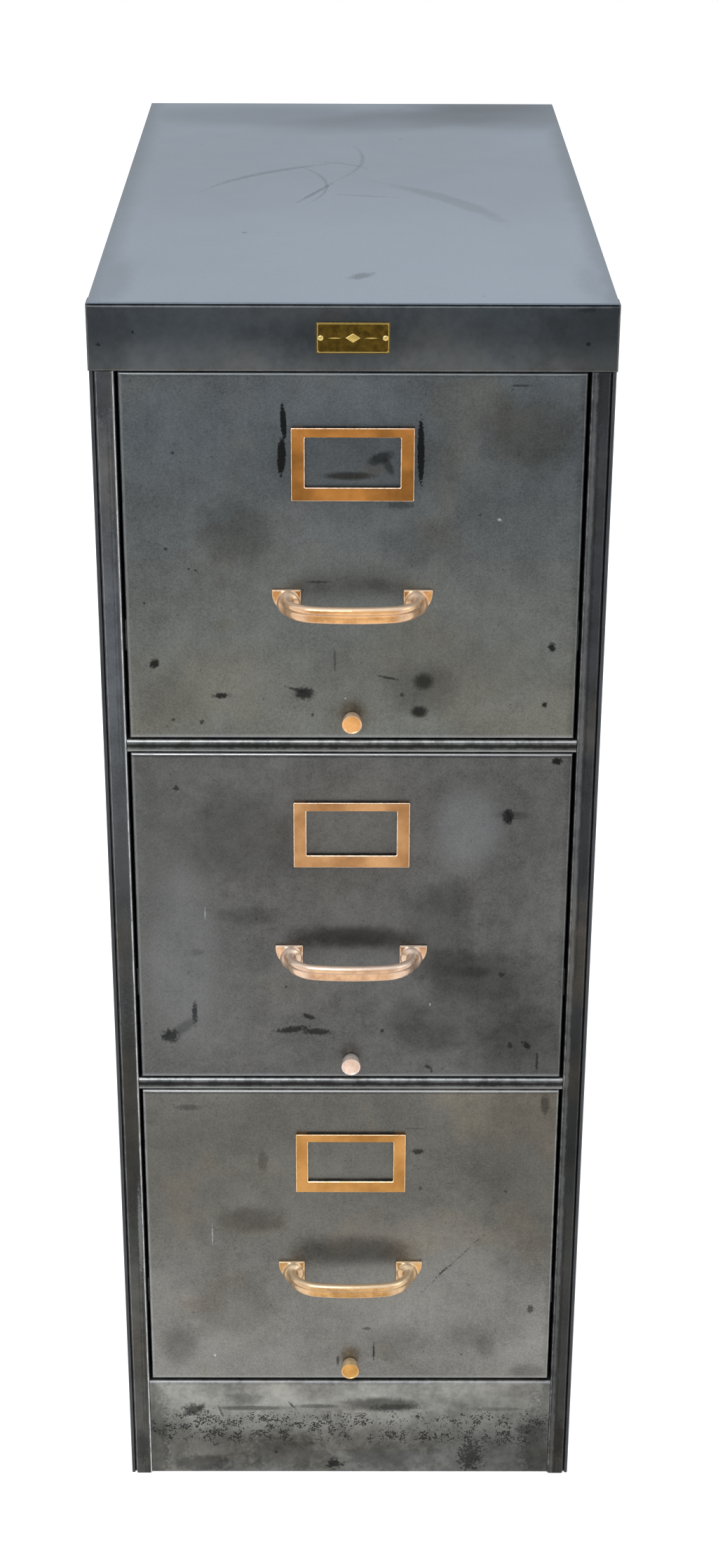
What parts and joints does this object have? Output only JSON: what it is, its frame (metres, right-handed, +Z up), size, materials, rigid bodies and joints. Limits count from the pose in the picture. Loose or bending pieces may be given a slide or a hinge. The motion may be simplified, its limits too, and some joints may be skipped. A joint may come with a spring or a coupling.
{
  "type": "vertical filing cabinet",
  "caption": "Upright letter-size filing cabinet in bare patinated steel, its drawers on full-extension roller slides, with bronze pulls, label frames and guide-rod knobs.",
  "frame": {"origin": "on the floor, under the middle of the box round the cabinet with its pulls", "axes": "+Z up, -Y towards the user at the drawer fronts, +X to the user's right"},
  "size_m": [0.381, 0.7456, 1.04],
  "materials": {
    "case_steel": "bare steel with a dark gunmetal patina, satin",
    "top_steel": "bare steel, pale blue-grey satin patina with faint scratches",
    "base_steel": "bare steel, warm grey with dark pitting",
    "post_steel": "bare steel, dark patina with bright worn bends",
    "inner_steel": "bare steel, dull dark grey",
    "slide_steel": "plain rolled steel",
    "roller_steel": "turned steel",
    "screw_steel": "plain steel",
    "rod_steel": "ground steel rod with a turned bronze knob",
    "top_front_steel": "bare steel, dark green-grey mottled patina",
    "middle_front_steel": "bare steel, grey patina with dark smudges",
    "bottom_front_steel": "bare steel, olive-grey patina with brown stains",
    "frame_bronze": "satin copper-bronze",
    "pull_bronze": "polished copper-bronze",
    "nameplate_brass": "yellow brass, blank"
  },
  "bodies": {
    "cabinet": {"top_panel": "top_steel", "header_band": "case_steel", "left_side_panel": "case_steel", "right_side_panel": "case_steel", "back_panel": "case_steel", "floor_pan": "inner_steel", "base_plate": "base_steel", "left_front_post": "post_steel", "right_front_post": "post_steel", "upper_rail": "post_steel", "lower_rail": "post_steel", "left_rear_upright": "inner_steel", "right_rear_upright": "inner_steel", "nameplate": "nameplate_brass", "nameplate_rivets": "nameplate_brass", "top_left_case_channel": "slide_steel", "top_right_case_channel": "slide_steel", "middle_left_case_channel": "slide_steel", "middle_right_case_channel": "slide_steel", "bottom_left_case_channel": "slide_steel", "bottom_right_case_channel": "slide_steel"},
    "top_drawer": {"top_drawer_front": "top_front_steel", "top_front_liner": "inner_steel", "top_tray": "inner_steel", "top_runners": "slide_steel", "top_label_frame": "frame_bronze", "top_pull": "pull_bronze", "top_pull_screws": "screw_steel"},
    "top_cradle": {"top_cradle": "slide_steel"},
    "top_front_rollers": {"top_front_rollers": "roller_steel"},
    "top_middle_rollers": {"top_middle_rollers": "roller_steel"},
    "top_rear_rollers": {"top_rear_rollers": "roller_steel"},
    "top_guide_rod": {"top_guide_rod": "rod_steel"},
    "top_follower": {"top_follower": "inner_steel"},
    "middle_drawer": {"middle_drawer_front": "middle_front_steel", "middle_front_liner": "inner_steel", "middle_tray": "inner_steel", "middle_runners": "slide_steel", "middle_label_frame": "frame_bronze", "middle_pull": "pull_bronze", "middle_pull_screws": "screw_steel"},
    "middle_cradle": {"middle_cradle": "slide_steel"},
    "middle_front_rollers": {"middle_front_rollers": "roller_steel"},
    "middle_middle_rollers": {"middle_middle_rollers": "roller_steel"},
    "middle_rear_rollers": {"middle_rear_rollers": "roller_steel"},
    "middle_guide_rod": {"middle_guide_rod": "rod_steel"},
    "middle_follower": {"middle_follower": "inner_steel"},
    "bottom_drawer": {"bottom_drawer_front": "bottom_front_steel", "bottom_front_liner": "inner_steel", "bottom_tray": "inner_steel", "bottom_runners": "slide_steel", "bottom_label_frame": "frame_bronze", "bottom_pull": "pull_bronze", "bottom_pull_screws": "screw_steel"},
    "bottom_cradle": {"bottom_cradle": "slide_steel"},
    "bottom_front_rollers": {"bottom_front_rollers": "roller_steel"},
    "bottom_middle_rollers": {"bottom_middle_rollers": "roller_steel"},
    "bottom_rear_rollers": {"bottom_rear_rollers": "roller_steel"},
    "bottom_guide_rod": {"bottom_guide_rod": "rod_steel"},
    "bottom_follower": {"bottom_follower": "inner_steel"}
  },
  "joints": [
    {"name": "top_drawer_slide", "type": "slide", "parent": "cabinet", "child": "top_drawer", "axis": [0, -1, 0], "range_m": [0, 0.6]},
    {"name": "top_cradle_slide", "type": "slide", "parent": "cabinet", "child": "top_cradle", "axis": [0, -1, 0], "range_m": [0, 0.3]},
    {"name": "top_front_rollers_spin", "type": "hinge", "parent": "top_cradle", "child": "top_front_rollers", "pos_m": [0, -0.28825, 0.7763], "axis": [1, 0, 0], "range_deg": [0, 1610]},
    {"name": "top_middle_rollers_spin", "type": "hinge", "parent": "top_cradle", "child": "top_middle_rollers", "pos_m": [0, 0.01895, 0.7763], "axis": [1, 0, 0], "range_deg": [0, 1610]},
    {"name": "top_rear_rollers_spin", "type": "hinge", "parent": "top_cradle", "child": "top_rear_rollers", "pos_m": [0, 0.33575, 0.7763], "axis": [1, 0, 0], "range_deg": [0, 1610]},
    {"name": "top_rod_pull", "type": "slide", "parent": "top_drawer", "child": "top_guide_rod", "axis": [0, -1, 0], "range_m": [0, 0.66]},
    {"name": "top_follower_slide", "type": "slide", "parent": "top_drawer", "child": "top_follower", "axis": [0, -1, 0], "range_m": [-0.022, 0.56]},
    {"name": "middle_drawer_slide", "type": "slide", "parent": "cabinet", "child": "middle_drawer", "axis": [0, -1, 0], "range_m": [0, 0.6]},
    {"name": "middle_cradle_slide", "type": "slide", "parent": "cabinet", "child": "middle_cradle", "axis": [0, -1, 0], "range_m": [0, 0.3]},
    {"name": "middle_front_rollers_spin", "type": "hinge", "parent": "middle_cradle", "child": "middle_front_rollers", "pos_m": [0, -0.28825, 0.4761], "axis": [1, 0, 0], "range_deg": [0, 1610]},
    {"name": "middle_middle_rollers_spin", "type": "hinge", "parent": "middle_cradle", "child": "middle_middle_rollers", "pos_m": [0, 0.01895, 0.4761], "axis": [1, 0, 0], "range_deg": [0, 1610]},
    {"name": "middle_rear_rollers_spin", "type": "hinge", "parent": "middle_cradle", "child": "middle_rear_rollers", "pos_m": [0, 0.33575, 0.4761], "axis": [1, 0, 0], "range_deg": [0, 1610]},
    {"name": "middle_rod_pull", "type": "slide", "parent": "middle_drawer", "child": "middle_guide_rod", "axis": [0, -1, 0], "range_m": [0, 0.66]},
    {"name": "middle_follower_slide", "type": "slide", "parent": "middle_drawer", "child": "middle_follower", "axis": [0, -1, 0], "range_m": [-0.022, 0.56]},
    {"name": "bottom_drawer_slide", "type": "slide", "parent": "cabinet", "child": "bottom_drawer", "axis": [0, -1, 0], "range_m": [0, 0.6]},
    {"name": "bottom_cradle_slide", "type": "slide", "parent": "cabinet", "child": "bottom_cradle", "axis": [0, -1, 0], "range_m": [0, 0.3]},
    {"name": "bottom_front_rollers_spin", "type": "hinge", "parent": "bottom_cradle", "child": "bottom_front_rollers", "pos_m": [0, -0.28825, 0.1759], "axis": [1, 0, 0], "range_deg": [0, 1610]},
    {"name": "bottom_middle_rollers_spin", "type": "hinge", "parent": "bottom_cradle", "child": "bottom_middle_rollers", "pos_m": [0, 0.01895, 0.1759], "axis": [1, 0, 0], "range_deg": [0, 1610]},
    {"name": "bottom_rear_rollers_spin", "type": "hinge", "parent": "bottom_cradle", "child": "bottom_rear_rollers", "pos_m": [0, 0.33575, 0.1759], "axis": [1, 0, 0], "range_deg": [0, 1610]},
    {"name": "bottom_rod_pull", "type": "slide", "parent": "bottom_drawer", "child": "bottom_guide_rod", "axis": [0, -1, 0], "range_m": [0, 0.66]},
    {"name": "bottom_follower_slide", "type": "slide", "parent": "bottom_drawer", "child": "bottom_follower", "axis": [0, -1, 0], "range_m": [-0.022, 0.56]}
  ],
  "couplings": [
    {"joint": "top_cradle_slide", "follows": "top_drawer_slide", "ratio": 0.5},
    {"joint": "top_front_rollers_spin", "follows": "top_drawer_slide", "rad_per_m": 46.729},
    {"joint": "top_middle_rollers_spin", "follows": "top_drawer_slide", "rad_per_m": 46.729},
    {"joint": "top_rear_rollers_spin", "follows": "top_drawer_slide", "rad_per_m": 46.729},
    {"joint": "middle_cradle_slide", "follows": "middle_drawer_slide", "ratio": 0.5},
    {"joint": "middle_front_rollers_spin", "follows": "middle_drawer_slide", "rad_per_m": 46.729},
    {"joint": "middle_middle_rollers_spin", "follows": "middle_drawer_slide", "rad_per_m": 46.729},
    {"joint": "middle_rear_rollers_spin", "follows": "middle_drawer_slide", "rad_per_m": 46.729},
    {"joint": "bottom_cradle_slide", "follows": "bottom_drawer_slide", "ratio": 0.5},
    {"joint": "bottom_front_rollers_spin", "follows": "bottom_drawer_slide", "rad_per_m": 46.729},
    {"joint": "bottom_middle_rollers_spin", "follows": "bottom_drawer_slide", "rad_per_m": 46.729},
    {"joint": "bottom_rear_rollers_spin", "follows": "bottom_drawer_slide", "rad_per_m": 46.729}
  ]
}
